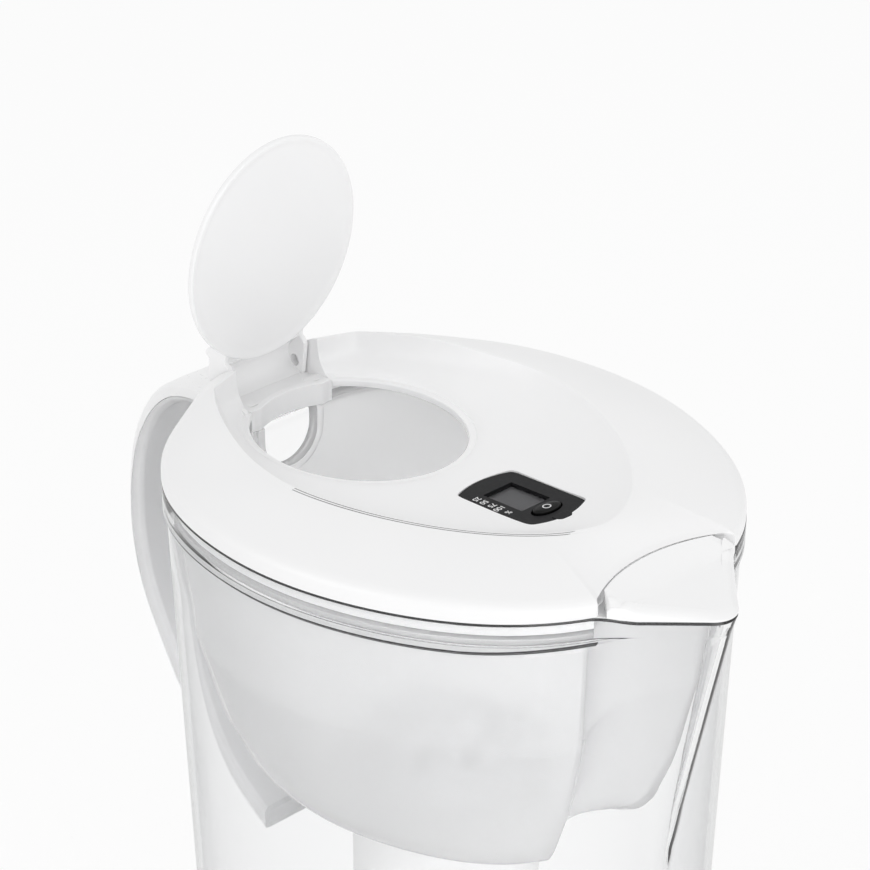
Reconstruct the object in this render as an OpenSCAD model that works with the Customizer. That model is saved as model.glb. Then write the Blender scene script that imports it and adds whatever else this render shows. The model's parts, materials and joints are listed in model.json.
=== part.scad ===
// Water filter pitcher with a flip lid.
// X points at the spout, Z is up, and the origin is under the middle of the part, on the table.
// Heights inside the modules are measured from the jug's rim, and plan sizes from the jug's axis.

/* [Jug] */
// Height of the jug's rim above the table
rim_h = 245; // [235:1:255]
// Mean radius of the jug's rim
rim_r = 84.8; // [84:0.2:86]
// Draft of the jug's walls, a side, in degrees
wall_draft = 2; // [1.5:0.1:2.4]
// Thickness of the jug's walls
wall = 2.3; // [2:0.1:2.4]
// Height of the collar round the rim
collar_h = 9.5; // [9:0.1:10]
// Distance from the jug's axis to the virtual point of the spout's plan
spout_apex = 111.6; // [111:0.2:113]
// Radius of the spout's tip
spout_tip_r = 7.4; // [7:0.1:8]
// Rake of the spout's front edge, in degrees
spout_rake = 13; // [11:1:14]

/* [Handle] */
// Width of the handle
handle_w = 27; // [25:1:28]
// Depth of the handle's channel
handle_d = 7; // [6:0.5:8]

/* [Lid] */
// Height of the crest round the lid's dish
crest_h = 11.9; // [11:0.1:12.5]
// Thickness of the lid's skin
lid_t = 2.4; // [2.2:0.1:2.6]
// Height of the seat round the filling opening
seat_h = 1.4; // [1.2:0.1:1.5]
// Half the length of the filling opening
opening_a = 36.2; // [35.8:0.1:36.4]
// Half the width of the filling opening
opening_b = 31.3; // [31:0.1:31.5]

/* [Flip lid] */
// Angle from closed to open, in degrees
open_angle = 82; // [78:1:84]
// Half the length of the flip lid's disc
disc_a = 38; // [37.8:0.1:38.2]
// Half the width of the flip lid's disc
disc_b = 33; // [32.8:0.1:33.2]
// Thickness of the flip lid's disc
disc_t = 2.2; // [2:0.1:2.3]

/* [Cartridge] */
// Outer radius of the filter cartridge
cartridge_r = 29.6; // [29:0.1:29.8]
// Length of the filter cartridge below its flange
cartridge_l = 88; // [80:1:95]

/* [Hidden] */
$fn = 72;

jug_x = 17.1;            // the jug's axis, forward of the middle of the whole part
white = [0.95, 0.95, 0.95];
clear = [0.86, 0.88, 0.9, 0.35];
smoke = [0.75, 0.77, 0.78];
dark = [0.2, 0.2, 0.21];

// Spout flap and the arc where it meets the lid
arc_x = 75.8;            // where the arc crosses the middle plane
arc_r = 53.2;
arc_t = 18.4;            // polar angle where the arc meets the jug's outline
flap_axis = [83, -1.2];
flap_pin_r = 1.2;

// Hinge of the flip lid
hinge = [-88.8, 4];
hinge_pin_r = 2.5;
running = 0.07;          // radial clearance of a pin in its bore
cheek_y = [14.6, 16.3];
web_y = [16.9, 18.9];
disc_reach = 46;         // from the hinge to the disc's centre
disc_drop = 1.2;         // the disc's middle plane, under the hinge when closed
cradle_top = 1.6;
cradle_low = -5.8;

// Funnel and cartridge
floor_top = -98;
floor_t = 2;
well_r = 31;
well_low = -112;
cartridge_x = -4;
flange_low = -7.9;
flange_top = -6.1;

// Display
display_at = [26.5, 0, 3.9];
display_tilt = 3.4;
bezel = [30.7, 21.8, 1.6];
button_x = 9.7;
button_size = [4.8, 9.2];
window_x = [-9.3, 6.2];
window_y = 5.9;

// Polar angles round the jug's axis, closer together near the spout
side_angles = concat([1.4, 2.9, 6, 10, 13.5, 16.4, 18.2, 19.2], [for (a = [24:6:174]) a]);
angles = concat([0], side_angles, [180], [for (i = [len(side_angles) - 1:-1:0]) -side_angles[i]]);

// ---- Plan curves ----

// Outline of the collar and of the lid
function outline_r(t) = rim_r*(1 + 0.054*cos(2*t) + 0.028*cos(3*t) - 0.013*cos(4*t)
    + 0.008*cos(5*t) - 0.005*cos(6*t));

// V of the spout with a rounded tip
function tip_r(t, c, r) = c*cos(t) + sqrt(max(0, r*r - pow(c*sin(t), 2)));
function spout_r(t, apex, r) =
    let (c = apex - r*sqrt(2), touch = atan2(r/sqrt(2), c + r/sqrt(2)))
    abs(t) >= 45 ? 0 : abs(t) < touch ? tip_r(t, c, r) : apex/(cos(t) + abs(sin(t)));

function draft_at(z) = tan(wall_draft)*max(0, -z - collar_h);
function apex_at(z) = spout_apex - tan(spout_rake)*max(0, -z);
// The collar and the ledge inside it stop at the spout, so their step is left out of the spout's V
function jug_r(t, z, inset, step = 0) = max(outline_r(t) - inset - step - draft_at(z),
    spout_r(t, apex_at(z) - sqrt(2)*inset, max(2.5, spout_tip_r - inset)));

// The jug's outline cut off behind the flap
function arc_edge_r(t) = let (c = arc_x + arc_r) c*cos(t) - sqrt(max(0, arc_r*arc_r - pow(c*sin(t), 2)));
function inner_r(t) = abs(t) < arc_t ? min(outline_r(t), arc_edge_r(t)) : outline_r(t);
// The lid reaches further back over the handle's root
function rear_reach(t) = 14.5*exp(-pow((180 - abs(t))/18.6, 2));
function lid_r(t) = inner_r(t) + rear_reach(t);

function polar(r, t) = [r*cos(t), r*sin(t)];
function at_z(p, z) = [p.x, p.y, z];
function mix(a, b, s) = a*(1 - s) + b*s;

// Ring of points at one height, from a radius function of the angle
function jug_ring(z, inset, step = 0) = [for (t = angles) at_z(polar(jug_r(t, z, inset, step), t), z)];
function inner_ring(z, inset) = [for (t = angles) at_z(polar(inner_r(t) - inset, t), z)];

// ---- Skin through rings: a closed loop of rings, or a stack with both ends capped ----

function centre_of(ring) = [for (k = [0:2]) [for (p = ring) p[k]]*[for (p = ring) 1/len(ring)]];

module skin(rings, loop = false) {
    n = len(rings[0]);
    m = len(rings);
    sides = [for (j = [0:m - (loop ? 1 : 2)], i = [0:n - 1])
        let (k = (i + 1)%n, low = j*n, high = ((j + 1)%m)*n)
        each [[low + i, high + k, low + k], [low + i, high + i, high + k]]];
    first_cap = [for (i = [0:n - 1]) [i, (i + 1)%n, m*n]];
    last_cap = [for (i = [0:n - 1]) [(m - 1)*n + (i + 1)%n, (m - 1)*n + i, m*n + 1]];
    ends = loop ? [] : [centre_of(rings[0]), centre_of(rings[m - 1])];
    caps = loop ? [] : concat(first_cap, last_cap);
    polyhedron([for (r = rings) each r, each ends], concat(sides, caps));
}

module rounded_slab(size, r, low, high) {
    translate([0, 0, low]) linear_extrude(high - low) rounded_plan(size, r);
}

module rounded_plan(size, r) {
    union() {
        square([size.x - 2*r, size.y], center = true);
        square([size.x, size.y - 2*r], center = true);
        for (x = [-1, 1], y = [-1, 1]) translate([x*(size.x/2 - r), y*(size.y/2 - r)]) circle(r);
    }
}

module on_rim() translate([jug_x, 0, rim_h]) children();
module side_plate(y) translate([0, y[1], 0]) rotate([90, 0, 0]) linear_extrude(y[1] - y[0]) children();
module both_sides() for (s = [0, 1]) mirror([0, s, 0]) children();

// ---- Jug ----

foot = 9;                // radius of the jug's bottom edge
wall_heights = [-rim_h + foot, -180, -130, -100, -86, -70, -50, -30, -15];

collar_step = 1;
ledge_z = -8;
ledge_w = 2.2;

jug_outer = concat(
    [jug_ring(-rim_h, foot, collar_step), jug_ring(-rim_h + 0.6, foot*0.64, collar_step),
        jug_ring(-rim_h + foot*0.3, foot*0.29, collar_step)],
    [for (z = wall_heights) jug_ring(z, 0, collar_step)],
    [jug_ring(-collar_h - 0.9, 0, collar_step), jug_ring(-collar_h, 0), jug_ring(-0.5, 0),
        jug_ring(0, 0.5)]);

jug_inner = concat(
    [jug_ring(0, 2.0), jug_ring(-0.4, 2.4), jug_ring(ledge_z, 2.4), jug_ring(ledge_z - 0.2, 2.4, ledge_w),
        jug_ring(ledge_z - 2, 2.4, ledge_w)],
    [for (i = [len(wall_heights) - 1:-1:0]) jug_ring(wall_heights[i], wall, collar_step)],
    [jug_ring(-rim_h + 5, foot*0.5, collar_step), jug_ring(-rim_h + 3, foot*1.1, collar_step)]);

module jug_shell() color(clear) on_rim() skin(concat(jug_outer, jug_inner));

module jug_solid() skin(jug_outer);

// ---- Handle: a channel swept along a path in the middle plane ----

handle_path = [[-80, -2.2], [-92, -2.2], [-101, -2], [-110, -2.6], [-120, -6], [-128.5, -13],
    [-135, -22.8], [-139.4, -34], [-142, -48], [-142.6, -62], [-141.3, -75], [-138.4, -86.5],
    [-134, -96.5], [-128.4, -106.5], [-121.2, -118.5], [-110, -133], [-96, -146], [-76, -158]];

function spline(p, i, s) = let (a = p[max(0, i - 1)], b = p[i], c = p[i + 1], d = p[min(len(p) - 1, i + 2)])
    (2*b + (c - a)*s + (2*a - 5*b + 4*c - d)*s*s + (3*b - a - 3*c + d)*s*s*s)/2;

handle_line = [for (i = [0:len(handle_path) - 2], s = [0, 0.5]) spline(handle_path, i, s),
    handle_path[len(handle_path) - 1]];

// The cap's sides reach down by the lid and are thin further on.
// Profile points are [distance across, depth to the jug].
function skirt_at(i) = 1.2 + 3.6*exp(-pow(i/14, 4));

function cap_profile(skirt) = let (h = handle_w/2, c = min(1.5, skirt - 0.2), under = 0.5*skirt + 0.4)
    [[-h, skirt], [-h, c], [-h + 0.6, 0.4*c], [-h + 2, 0.05], [-h*0.4, -0.25], [h*0.4, -0.25],
    [h - 2, 0.05], [h - 0.6, 0.4*c], [h, c], [h, skirt], [h - 2, skirt], [h - 2.2, under],
    [-h + 2.2, under], [-h + 2, skirt]];

function liner_profile(skirt) = let (h = handle_w/2 - 0.1, e = skirt + 0.05, d = handle_d)
    [[-h, e], [-h + 2, e], [-h + 2.1, d - 1.9], [h - 2.1, d - 1.9], [h - 2, e], [h, e], [h, d - 1.4],
    [h - 1.4, d], [-h + 1.4, d], [-h, d - 1.4]];

function path_inward(i) = let (p = handle_line, a = p[max(0, i - 1)], b = p[min(len(p) - 1, i + 1)],
    d = (b - a)/norm(b - a)) [-d.y, d.x];

function swept_ring(i, profile) = let (p = handle_line[i], n = path_inward(i))
    [for (q = profile) [p.x + n.x*q[1], q[0], p.y + n.y*q[1]]];

module handle_shell() color(white) on_rim() difference() {
    skin([for (i = [0:len(handle_line) - 1]) swept_ring(i, cap_profile(skirt_at(i)))]);
    jug_solid();
}

module handle_liner() color(clear) on_rim() difference() {
    skin([for (i = [len(handle_line) - 1:-1:0]) swept_ring(i, liner_profile(skirt_at(i)))]);
    jug_solid();
}

// ---- Funnel ----

funnel_bend = -48;       // below this the walls lean in more
function funnel_inset(z) = 6.2 + tan(3)*(flange_low - max(z, funnel_bend)) + tan(15)*max(0, funnel_bend - z);
funnel_heights = [-75, -50, -46, -35];

function funnel_ring(z, inset) = inner_ring(z, funnel_inset(z) + inset);
function floor_ring(z, inset) = inner_ring(z, funnel_inset(floor_top - floor_t) + inset);

module funnel_cup() {
    floor_low = floor_top - floor_t;
    skin(concat(
        [floor_ring(floor_low, 12), floor_ring(floor_low + 2.2, 5), floor_ring(floor_low + 8, 1)],
        [for (z = funnel_heights) funnel_ring(z, 0)],
        [inner_ring(flange_low, 6.2), inner_ring(flange_low, 2.9), inner_ring(flange_top, 2.9),
            inner_ring(flange_top, 8)],
        [for (i = [len(funnel_heights) - 1:-1:0]) funnel_ring(funnel_heights[i], 1.8)],
        [floor_ring(floor_low + 8.6, 2.8), floor_ring(floor_low + 3.9, 6.4), floor_ring(floor_top, 13)]));
}

notch_r = 15.5;
notch_z = -20;

module notch_plan(r) {
    circle(r);
    translate([-r, 0]) square([2*r, flange_top - notch_z]);
}

module across_wall(x0, x1) translate([x0, 0, notch_z]) rotate([90, 0, 90]) linear_extrude(x1 - x0)
    children();

module funnel_shell() color(smoke) on_rim() difference() {
    union() {
        funnel_cup();
        across_wall(-78.2, -74.2) notch_plan(notch_r + 3);
        translate([cartridge_x, 0, well_low]) cylinder(r = well_r + 2, h = floor_top - well_low);
    }
    across_wall(-90, -66) notch_plan(notch_r);
    across_wall(-90, -66) translate([-notch_r, 0]) square([2*notch_r, 30]);
    translate([cartridge_x, 0, well_low - 1]) cylinder(r = well_r, h = 40);
}

// ---- Cartridge ----

cartridge_low = floor_top - cartridge_l;
media_r = cartridge_r - 2;

module at_cartridge() on_rim() translate([cartridge_x, 0, 0]) children();

module cartridge_shell() color(white) at_cartridge() difference() {
    union() {
        translate([0, 0, cartridge_low]) cylinder(r = cartridge_r, h = cartridge_l + 1);
        translate([0, 0, floor_top]) cylinder(r = well_r + 2, h = 2);
    }
    translate([0, 0, cartridge_low + 2.4]) cylinder(r = media_r + 0.1, h = cartridge_l + 2);
    translate([0, 0, cartridge_low - 1]) cylinder(r = 2.5, h = 5);
    for (ring = [[11, 6], [21, 12]], i = [0:ring[1] - 1])
        rotate([0, 0, i*360/ring[1]]) translate([ring[0], 0, cartridge_low - 1])
            cylinder(r = 2.5, h = 5, $fn = 24);
}

module cartridge_cap() color(white) at_cartridge() difference() {
    union() {
        rotate_extrude() polygon([[0, floor_top + 12], [10, floor_top + 11.5], [20, floor_top + 9.5],
            [28, floor_top + 6], [31.5, floor_top + 2.1], [29.4, floor_top + 2.1], [26.6, floor_top + 4.6],
            [19.4, floor_top + 7.6], [9.8, floor_top + 9.4], [0, floor_top + 9.8]]);
        translate([-11, -1.5, floor_top + 10.2]) cube([22, 3, 12]);
    }
    translate([-7.5, -3, floor_top + 13]) cube([15, 6, 5.6]);
    for (i = [0:7]) rotate([0, 0, 22.5 + i*45]) translate([13, -1.5, floor_top]) cube([9, 3, 14]);
}

module cartridge_seal() color("black") at_cartridge() translate([0, 0, -104])
    difference() {
        cylinder(r = well_r - 0.02, h = 2.6);
        translate([0, 0, -1]) cylinder(r = cartridge_r + 0.02, h = 5);
    }

module screen(z) color([0.85, 0.85, 0.85]) at_cartridge() translate([0, 0, z])
    cylinder(r = media_r, h = 0.8);
module cartridge_top_screen() screen(floor_top - 0.6);
module cartridge_bottom_screen() screen(cartridge_low + 2.6);

module filter_media() color([0.15, 0.15, 0.15]) at_cartridge()
    translate([0, 0, cartridge_low + 3.5]) cylinder(r = media_r, h = cartridge_l - 4.3);

// ---- Lid ----

crest_x = -16.4;         // middle of the crest's closed curve
crest_a = 77.3;
crest_b = 52.8;
crest_power = 1.72;
crest_margin = 8;        // least distance from the crest to the lid's edge
opening_x = -42.9;

function ease(s) = s*s*(3 - 2*s);
function rear_rise(x) = 1.7*ease(min(1, max(0, -(x + 30)/33)));
function crest_z(x) = crest_h - 0.0215*x - 0.0003*x*x + rear_rise(x);
function lid_edge(t, inset) = polar(lid_r(t) - inset, t);
function ray(t) = lid_edge(t, 0) - [crest_x, 0];

function crest_point(t) = let (e = ray(t), u = e/norm(e),
    reach = pow(pow(abs(u.x)/crest_a, crest_power) + pow(abs(u.y)/crest_b, crest_power), -1/crest_power))
    [crest_x, 0] + u*min(reach, norm(e) - crest_margin - 0.55*rear_reach(t));

// Where a ray from the crest's middle leaves the opening, grown by g
function opening_point(t, g) = let (e = ray(t), u = e/norm(e), h = opening_x - crest_x,
    a = opening_a + g, b = opening_b + g, qa = pow(u.x/a, 2) + pow(u.y/b, 2), qb = -2*h*u.x/(a*a),
    qc = h*h/(a*a) - 1)
    [crest_x, 0] + u*(-qb + sqrt(qb*qb - 4*qa*qc))/(2*qa);

seat_w = 3;
function dish_rise(s) = 0.42*sqrt(s) + 0.58*pow(s, 6);
function dish_z(t, s) = mix(seat_h, crest_z(crest_point(t).x), dish_rise(s));
function dish_point(t, s) = mix(opening_point(t, seat_w), crest_point(t), s);

brim_inset = 2.6;
function behind_flap(t) = abs(t) < 18.8;
function brim_z(t) = behind_flap(t) ? 5 : 6.2;
function slope_z(t, s) = mix(brim_z(t), crest_z(crest_point(t).x), 1 - pow(1 - s, 1.5));
function slope_point(t, s) = mix(lid_edge(t, brim_inset), crest_point(t), s);

function edge_ring(inset, z, flap_inset, flap_z) = [for (t = angles) behind_flap(t)
    ? at_z(lid_edge(t, flap_inset), flap_z) : at_z(lid_edge(t, inset), z)];
function dish_ring(s, drop) = [for (t = angles) at_z(dish_point(t, s), dish_z(t, s) - drop)];
function slope_ring(s) = [for (t = angles) at_z(slope_point(t, s), slope_z(t, s))];
function under_crest_ring(drop) = [for (t = angles) let (p = crest_point(t)) at_z(p, crest_z(p.x) - drop)];
function opening_ring(g, z) = [for (t = angles) at_z(opening_point(t, g), z)];

skirt_out = 3;
skirt_in = 5.2;
skirt_low = -5;

lid_top = [edge_ring(0, 0, skirt_out - 0.2, 0), edge_ring(0, 3.4, 2.4, 2.2), edge_ring(0.8, 5.1, 0.1, 4.3),
    slope_ring(0), slope_ring(0.3), slope_ring(0.65), slope_ring(1),
    dish_ring(0.88, 0), dish_ring(0.7, 0), dish_ring(0.45, 0), dish_ring(0.2, 0), dish_ring(0.05, 0),
    opening_ring(seat_w*0.5, seat_h), opening_ring(0, seat_h)];

lid_under = [opening_ring(0, seat_h - lid_t), opening_ring(seat_w, seat_h - lid_t), dish_ring(0.2, lid_t),
    dish_ring(0.6, lid_t), dish_ring(0.9, lid_t), under_crest_ring(lid_t + 0.4),
    edge_ring(6.8, 2.8, 6.8, 2.2), inner_ring(1.4, skirt_in), inner_ring(skirt_low, skirt_in),
    inner_ring(skirt_low, skirt_out), inner_ring(0, skirt_out)];

module lid_skin() skin(concat(lid_top, lid_under), loop = true);

// Solid webs beside the rear notch carry the bores of the flip lid's hinge
module hinge_webs() intersection() {
    skin(concat(lid_top, [opening_ring(0, 0)]), loop = true);
    both_sides() translate([-110, web_y[0], 0]) cube([40, web_y[1] - web_y[0], 20]);
}

module hinge_bore() translate([hinge.x, -30, hinge.y]) rotate([-90, 0, 0])
    cylinder(r = hinge_pin_r + running, h = 60);

module flap_arm() side_plate([14.9, 17.1]) difference() {
    union() {
        polygon([[73.6, skirt_low], [85.2, skirt_low], [85.2, flap_axis[1]], [80.8, flap_axis[1]],
            [80.8, -3.4], [73.6, -3.4]]);
        translate(flap_axis) circle(2.4);
    }
    translate(flap_axis) circle(flap_pin_r + running);
}

module lid_shell() color(white) on_rim() {
    difference() {
        union() {
            lid_skin();
            hinge_webs();
            at_display() rounded_slab([32.6, 23.7], 5, -3.4, -bezel.z - 0.1);
        }
        translate([-110, -web_y[0], -10]) cube([38.2, 2*web_y[0], 40]);
        hinge_bore();
        at_display() rounded_slab([28.7, 19.8], 3, -12, 6);
        at_display() rounded_slab([bezel.x + 0.3, bezel.y + 0.3], 4.1, -bezel.z - 0.1, 6);
        at_display() bezel_tab(0.2);
    }
    both_sides() flap_arm();
}

// Insert in the lid's rear notch: a bar along the opening's edge and a ledge under the flip lid's barrel
module opening_plan(g) translate([opening_x, 0]) scale([(opening_a + g)/(opening_b + g), 1])
    circle(opening_b + g);

module hinge_cradle() color(white) on_rim() {
    translate([0, 0, cradle_low]) linear_extrude(cradle_top - cradle_low) intersection() {
        difference() {
            opening_plan(-0.4);
            opening_plan(-2.4);
        }
        translate([-90, -web_y[0] + 0.05]) square([40, 2*web_y[0] - 0.1]);
    }
    side_plate([-cheek_y[0] + 0.4, cheek_y[0] - 0.4]) polygon([[-76.5, 1.2], [-83.9, 1.2], [-84.8, 0.15],
        [-81.6, 0.15], [-81.4, -0.9], [-76.5, -3]]);
}

// ---- Flip lid, drawn closed with its hinge at the origin, then swung open ----

neck_profile = [[11, 0.6], [9, 2.4], [6, 5], [2.4, 6.2], [-1.8, 4.9], [-4.4, 1.8], [-5.1, -1], [-4.4, -3],
    [-2.8, -4.5], [-1.8, -3.3], [-3.1, -2.2], [-3.6, -0.8], [-2.8, 1], [-0.8, 3.2], [2.4, 4.4],
    [5, 3.4], [7.8, 0.6], [9, -1]];
cheek_profile = [[17, -1], [14.5, 3], [11.6, 7.2], [10, 8.4], [9, 7.8], [8.2, 6.2], [2.4, 6.2], [-1.8, 4.9],
    [-4.4, 1.8], [-5.1, -1], [-4.2, -3.4], [-3, -3.8], [7.6, -3.8], [9.4, -2], [9.6, -1], [14, -1.2]];

module disc_plan(g) scale([(disc_a + g)/(disc_b + g), 1]) circle(disc_b + g, $fn = 96);

module flip_lid() color(white) on_rim() translate([hinge.x, 0, hinge.y]) rotate([0, -open_angle, 0]) {
    translate([disc_reach, 0, -disc_drop - disc_t/2]) {
        linear_extrude(disc_t) disc_plan(0);
        translate([0, 0, -1.2]) linear_extrude(1.4) difference() {
            disc_plan(-5.4);
            disc_plan(-6.6);
        }
    }
    side_plate([-cheek_y[1], cheek_y[1]]) polygon(neck_profile);
    both_sides() difference() {
        union() {
            side_plate(cheek_y) polygon(cheek_profile);
            translate([0, cheek_y[1] - 0.5, 0]) rotate([-90, 0, 0])
                cylinder(r = hinge_pin_r, h = web_y[1] - cheek_y[1] + 0.3);
        }
        translate([0, cheek_y[0] - 1, 0]) rotate([-90, 0, 0]) cylinder(r = hinge_pin_r - 0.5, h = 2);
    }
}

// ---- Spout flap ----

flap_middle = [90, 0];
flap_t = 1.6;
flap_gap = 0.4;
front_half = [1.4, 2.9, 6, 10, 13.5, 16.4, 18];
flap_front = concat([for (i = [6:-1:0]) -front_half[i]], [0], front_half);
flap_plan = concat([for (t = flap_front) polar(jug_r(t, 0, 0), t)],
    [for (t = [15, 10, 5, 0, -5, -10, -15]) polar(arc_edge_r(t) + flap_gap, t)]);

function flap_z(p) = 4.4 - 0.1*(p.x - arc_x) - 0.0016*p.y*p.y;
function flap_ring(s, drop, least) = [for (p = flap_plan) let (q = mix(flap_middle, p, s))
    at_z(q, max(least, flap_z(q) - drop))];

module flap_lug() {
    side_plate([17.6, 19.2]) union() {
        translate(flap_axis) circle(2.2);
        translate([flap_axis.x - 2.2, flap_axis[1]]) square([4.4, 3.7]);
    }
    translate([flap_axis.x, 14.6, flap_axis[1]]) rotate([-90, 0, 0]) cylinder(r = flap_pin_r, h = 3.6);
}

module spout_flap() color(white) on_rim() {
    skin([flap_ring(0.05, flap_t, 0.6), flap_ring(0.5, flap_t, 0.6), flap_ring(0.92, flap_t, 0.6),
        flap_ring(0.93, 20, 0.3), flap_ring(1, 20, 0.3), flap_ring(1, 1.8, 0.9), flap_ring(0.97, 0.6, 1.3),
        flap_ring(0.9, 0, 1.3), flap_ring(0.5, 0, 1.3), flap_ring(0.05, 0, 1.3)]);
    both_sides() flap_lug();
}

// ---- Display unit: heights are measured from the bezel's top ----

module at_display() translate(display_at) rotate([0, -display_tilt, 0]) children();
module display_place() on_rim() at_display() children();

module oval(size) scale([size.x/size.y, 1]) circle(size.y/2);

module window_plan(g) {
    translate([window_x[0] - g, -window_y - g]) square([window_x[1] - window_x[0] + 2*g, 2*(window_y + g)]);
}

module bezel_tab(g) translate([bezel.x/2 - 1, -7 - g, -bezel.z])
    cube([1.9 + g, 4.6 + 2*g, bezel.z - 0.4 + 8*g]);

module display_bezel() color(dark) display_place() difference() {
    union() {
        rounded_slab([bezel.x, bezel.y], 4, -bezel.z, 0);
        rounded_slab([28.4, 19.5], 2.9, -3, -bezel.z);
        bezel_tab(0);
    }
    translate([0, 0, -5]) linear_extrude(10) {
        window_plan(0);
        translate([button_x, 0]) oval(button_size);
    }
    translate([0, 0, -3.2]) linear_extrude(3.2 - bezel.z) rounded_plan([26.4, 17.5], 2);
}

module display_window() color([0.5, 0.5, 0.52, 0.5]) display_place()
    translate([0, 0, -1.5]) linear_extrude(0.7) window_plan(-0.1);

module lcd_panel() color([0.38, 0.38, 0.38]) display_place()
    translate([0, 0, -2.9]) linear_extrude(1.2) window_plan(0.5);

module lcd_connector() color([0.3, 0.3, 0.35]) display_place()
    for (y = [-6.2, 4.8]) translate([window_x[0], y, -4.55]) cube([14.6, 1.4, 1.6]);

module circuit_board() color([0.1, 0.35, 0.2]) display_place() rounded_slab([26, 17.2], 1.9, -5.6, -4.6);

module button_switch() color([0.6, 0.6, 0.6]) display_place() translate([button_x, 0, -4.6]) {
    translate([-2.2, -2.2, 0]) cube([4.4, 4.4, 1.5]);
    cylinder(r = 1.1, h = 1.8);
}

module start_button() color("black") display_place() translate([button_x, 0, 0]) {
    translate([0, 0, -1.9]) linear_extrude(2.7) oval([button_size.x - 0.4, button_size.y - 0.4]);
    translate([0, 0, -2.2]) linear_extrude(0.5) oval([button_size.x + 0.5, button_size.y + 1.2]);
}

cell_r = 6.2;
cover_r = 7.4;

module display_housing() color(dark) display_place() difference() {
    rounded_slab([28.4, 19.5], 2.9, -10.6, -3.05);
    rounded_slab([26.4, 17.5], 2, -5.7, -3);
    rounded_slab([24, 15.6], 2, -9.4, -5.6);
    translate([0, 0, -12]) cylinder(r = cover_r, h = 5);
}

module coin_cell() color([0.75, 0.75, 0.77]) display_place() translate([0, 0, -8.6])
    cylinder(r = cell_r, h = 2);

module battery_clip() color([0.8, 0.75, 0.55]) display_place() {
    translate([-8, -2, -6.5]) cube([16, 4, 0.3]);
    for (x = [-8, 7.7]) translate([x, -2, -6.5]) cube([0.3, 4, 0.88]);
}

module battery_cover() color(dark) display_place() difference() {
    translate([0, 0, -10.6]) cylinder(r = cover_r - 0.08, h = 1.9);
    translate([-4.5, -0.6, -11]) cube([9, 1.2, 1.2]);
}

jug_shell();
handle_shell();
handle_liner();
funnel_shell();
cartridge_shell();
cartridge_cap();
cartridge_seal();
cartridge_top_screen();
filter_media();
cartridge_bottom_screen();
lid_shell();
hinge_cradle();
flip_lid();
spout_flap();
display_bezel();
display_window();
lcd_panel();
lcd_connector();
circuit_board();
button_switch();
start_button();
display_housing();
coin_cell();
battery_clip();
battery_cover();
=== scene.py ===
import json
from math import atan2, cos, degrees, pi, radians, sin, sqrt, tan

import bmesh
import bpy
import numpy as np
from mathutils import Matrix, Vector


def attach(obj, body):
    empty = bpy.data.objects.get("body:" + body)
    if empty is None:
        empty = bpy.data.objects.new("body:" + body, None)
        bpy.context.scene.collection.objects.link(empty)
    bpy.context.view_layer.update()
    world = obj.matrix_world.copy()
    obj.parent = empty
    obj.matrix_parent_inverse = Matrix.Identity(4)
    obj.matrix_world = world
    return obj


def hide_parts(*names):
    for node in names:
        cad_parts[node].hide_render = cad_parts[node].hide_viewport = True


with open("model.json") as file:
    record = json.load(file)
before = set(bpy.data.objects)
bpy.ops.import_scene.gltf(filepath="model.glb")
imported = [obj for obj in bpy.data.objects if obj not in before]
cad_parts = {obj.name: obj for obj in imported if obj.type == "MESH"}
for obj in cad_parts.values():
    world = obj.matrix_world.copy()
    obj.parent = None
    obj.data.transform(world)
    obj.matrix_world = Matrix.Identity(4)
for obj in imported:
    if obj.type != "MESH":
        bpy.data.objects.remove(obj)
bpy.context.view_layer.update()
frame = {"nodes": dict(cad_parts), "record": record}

MM = 0.001

# Sizes in millimetres and degrees, as in the CAD: plan sizes from the jug's axis, heights from its rim
JUG_X, RIM_H = 17.1, 245                    # the axis and the rim in the frame
RIM_R, WALL, WALL_DRAFT, COLLAR_H = 84.8, 2.3, 2, 9.5
SPOUT_APEX, SPOUT_TIP, SPOUT_RAKE = 111.6, 7.4, 13
HANDLE_W, HANDLE_D = 27, 7
CREST_H, LID_T, SEAT_H, OPENING_A, OPENING_B = 11.9, 2.4, 1.4, 36.2, 31.3
OPEN_ANGLE, DISC_A, DISC_B, DISC_T = 82, 38, 33, 2.2

# ---- Camera, fitted to the photograph's rim, filling opening and open disc ----

scene = bpy.context.scene
cam_data = bpy.data.cameras.new("camera")
cam_data.lens = 125.7
cam_data.sensor_width = 36
cam_data.clip_end = 20
camera = bpy.data.objects.new("camera", cam_data)
scene.collection.objects.link(camera)
camera.location = (0.5880, -0.5600, 0.6672)
camera_aim = Vector((-0.00818, 0.01554, 0.245))
camera.rotation_euler = (camera_aim - camera.location).to_track_quat("-Z", "Y").to_euler()
scene.camera = camera
scene.view_settings.view_transform = "Standard"

# ---- Node helpers ----


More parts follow.
